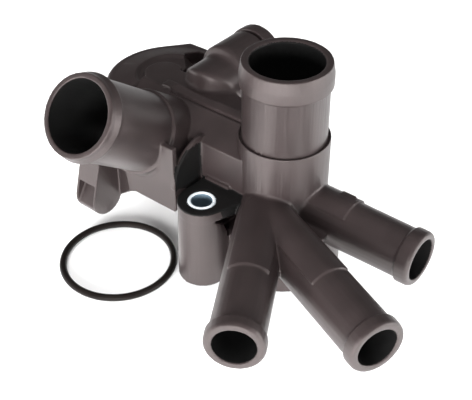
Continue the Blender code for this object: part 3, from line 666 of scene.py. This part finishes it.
def grain_material(name, colours, roughness, grain, metallic=0.0):
    """Solid with faint mottling in colour and gloss, and a fine surface grain."""
    mat = bpy.data.materials.new(name)
    mat.use_nodes = True
    tree = mat.node_tree
    shader = tree.nodes["Principled BSDF"]
    shader.inputs["Metallic"].default_value = metallic
    coords = tree.nodes.new("ShaderNodeTexCoord")
    mottle = add_node(tree, "ShaderNodeTexNoise", Scale=MOTTLE_SCALE, Detail=4.0, Roughness=0.6)
    tree.links.new(coords.outputs["Object"], mottle.inputs["Vector"])
    ramp = tree.nodes.new("ShaderNodeValToRGB")
    set_ramp(ramp, MOTTLE_BAND, *colours)
    tree.links.new(mottle.outputs["Fac"], ramp.inputs["Fac"])
    tree.links.new(ramp.outputs["Color"], shader.inputs["Base Color"])
    gloss = tree.nodes.new("ShaderNodeMapRange")
    gloss.inputs["To Min"].default_value = roughness - GLOSS_SPREAD
    gloss.inputs["To Max"].default_value = roughness + GLOSS_SPREAD
    tree.links.new(mottle.outputs["Fac"], gloss.inputs["Value"])
    tree.links.new(gloss.outputs["Result"], shader.inputs["Roughness"])
    scale, depth = grain
    noise = add_node(tree, "ShaderNodeTexNoise", Scale=scale, Detail=3.0, Roughness=0.7)
    tree.links.new(coords.outputs["Object"], noise.inputs["Vector"])
    bump = add_node(tree, "ShaderNodeBump", Strength=GRAIN_STRENGTH, Distance=depth)
    tree.links.new(noise.outputs["Fac"], bump.inputs["Height"])
    tree.links.new(bump.outputs["Normal"], shader.inputs["Normal"])
    return mat


def nylon_material(name, colours, reflection):
    """Black-brown glass-filled nylon."""
    mat = grain_material(name, colours, NYLON_ROUGHNESS, NYLON_GRAIN)
    shader = mat.node_tree.nodes["Principled BSDF"]
    shader.inputs["Specular Tint"].default_value = NYLON_TINT
    shader.inputs["Specular IOR Level"].default_value = reflection
    return mat


def steel_material(name, colours):
    """Steel with fine turning marks."""
    return grain_material(name, colours, STEEL_ROUGHNESS, STEEL_GRAIN, STEEL_METALLIC)


def rubber_material():
    """Black rubber, slightly glossy."""
    mat = grain_material("black_rubber", BLACK_RUBBER, RUBBER_ROUGHNESS, RUBBER_GRAIN)
    mat.node_tree.nodes["Principled BSDF"].inputs["Specular IOR Level"].default_value = RUBBER_REFLECTION
    return mat


def soft_light(name, where, towards, size, power, glossy=True):
    """Rectangular softbox that looks at a point."""
    data = bpy.data.lights.new(name, "AREA")
    data.shape = "RECTANGLE"
    data.size, data.size_y = size
    data.energy = power
    light = bpy.data.objects.new(name, data)
    bpy.context.scene.collection.objects.link(light)
    light.location = place(where)
    light.rotation_euler = (place(towards) - light.location).to_track_quat("-Z", "Y").to_euler()
    light.visible_glossy = glossy
    light.visible_camera = False


def pale_floor():
    """Large plain floor."""
    half = FLOOR_HALF_WIDTH
    bm = bmesh.new()
    corners = [bm.verts.new((sx * half, sy * half, 0.0)) for sx, sy in ((-1, -1), (1, -1), (1, 1), (-1, 1))]
    bm.faces.new(corners)
    floor = link("floor", as_mesh("floor", bm))
    paint = bpy.data.materials.new("floor_paint")
    paint.use_nodes = True
    shader = paint.node_tree.nodes["Principled BSDF"]
    shader.inputs["Base Color"].default_value = FLOOR_COLOUR
    shader.inputs["Roughness"].default_value = FLOOR_ROUGHNESS
    floor.data.materials.append(paint)


def studio_sky():
    """Surroundings that are white at the horizon and dim above."""
    world = bpy.data.worlds.new("studio")
    bpy.context.scene.world = world
    world.use_nodes = True
    tree = world.node_tree
    sky = tree.nodes["Background"]
    sky.inputs["Strength"].default_value = SKY_STRENGTH
    coords = tree.nodes.new("ShaderNodeTexCoord")
    split = tree.nodes.new("ShaderNodeSeparateXYZ")
    tree.links.new(coords.outputs["Generated"], split.inputs["Vector"])
    ramp = tree.nodes.new("ShaderNodeValToRGB")
    set_ramp(ramp, SKY_BAND, (1.0, 1.0, 1.0), (SKY_TOP, SKY_TOP, SKY_TOP))
    tree.links.new(split.outputs["Z"], ramp.inputs["Fac"])
    tree.links.new(ramp.outputs["Color"], sky.inputs["Color"])


def studio():
    """Pale floor, even surroundings and soft lights."""
    pale_floor()
    studio_sky()
    for name, (where, size, power, glossy) in SOFTBOXES.items():
        soft_light(name, where, LIGHT_TARGET, size, power, glossy)
    soft_light("low_card", LOW_CARD_PLACE, LOW_CARD_TARGET, LOW_CARD_SIZE, LOW_CARD_POWER)


def camera():
    """Camera of the photograph."""
    data = bpy.data.cameras.new("camera")
    data.lens = CAMERA_LENS
    data.sensor_width = CAMERA_SENSOR
    data.clip_end = CAMERA_FAR
    cam = bpy.data.objects.new("camera", data)
    bpy.context.scene.collection.objects.link(cam)
    turn = Matrix.Rotation(CAMERA_HEADING, 4, "Z") @ Matrix.Rotation(math.pi / 2 - CAMERA_PITCH, 4, "X")
    cam.matrix_world = Matrix.Translation(place(CAMERA_PLACE)) @ turn
    bpy.context.scene.camera = cam


def main():
    """Dress every CAD node, then set up the camera and the studio."""
    skin = moulded_skin("housing_skin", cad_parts["housing"])
    skin.data.materials.append(nylon_material("satin_nylon", SATIN_NYLON, SATIN_REFLECTION))
    # Second material: painted shade on the bore walls and on the faces that lie in shade
    skin.data.materials.append(nylon_material("nylon_painted_shade", PAINTED_SHADE_NYLON, PAINTED_SHADE_REFLECTION))
    mark_painted_shade_faces(skin.data)
    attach(skin, "root")
    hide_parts("housing")

    steel = steel_material("turned_steel", TURNED_STEEL)
    # Darker blue-grey steel: painted shade on the wall of each bush's bore
    bore_shade_paint = steel_material("steel_painted_shade", BORE_SHADE_STEEL)
    for name in ("front_bush", "rear_bush"):
        sleeve = bush(name + "_sleeve", name)
        sleeve.data.materials.append(steel)
        sleeve.data.materials.append(bore_shade_paint)
        mark_bush_bore_shade(sleeve.data)
    seal("seal_ring_rubber", "seal_ring").data.materials.append(rubber_material())

    camera()
    studio()
    bpy.context.scene.view_settings.view_transform = "Standard"


main()
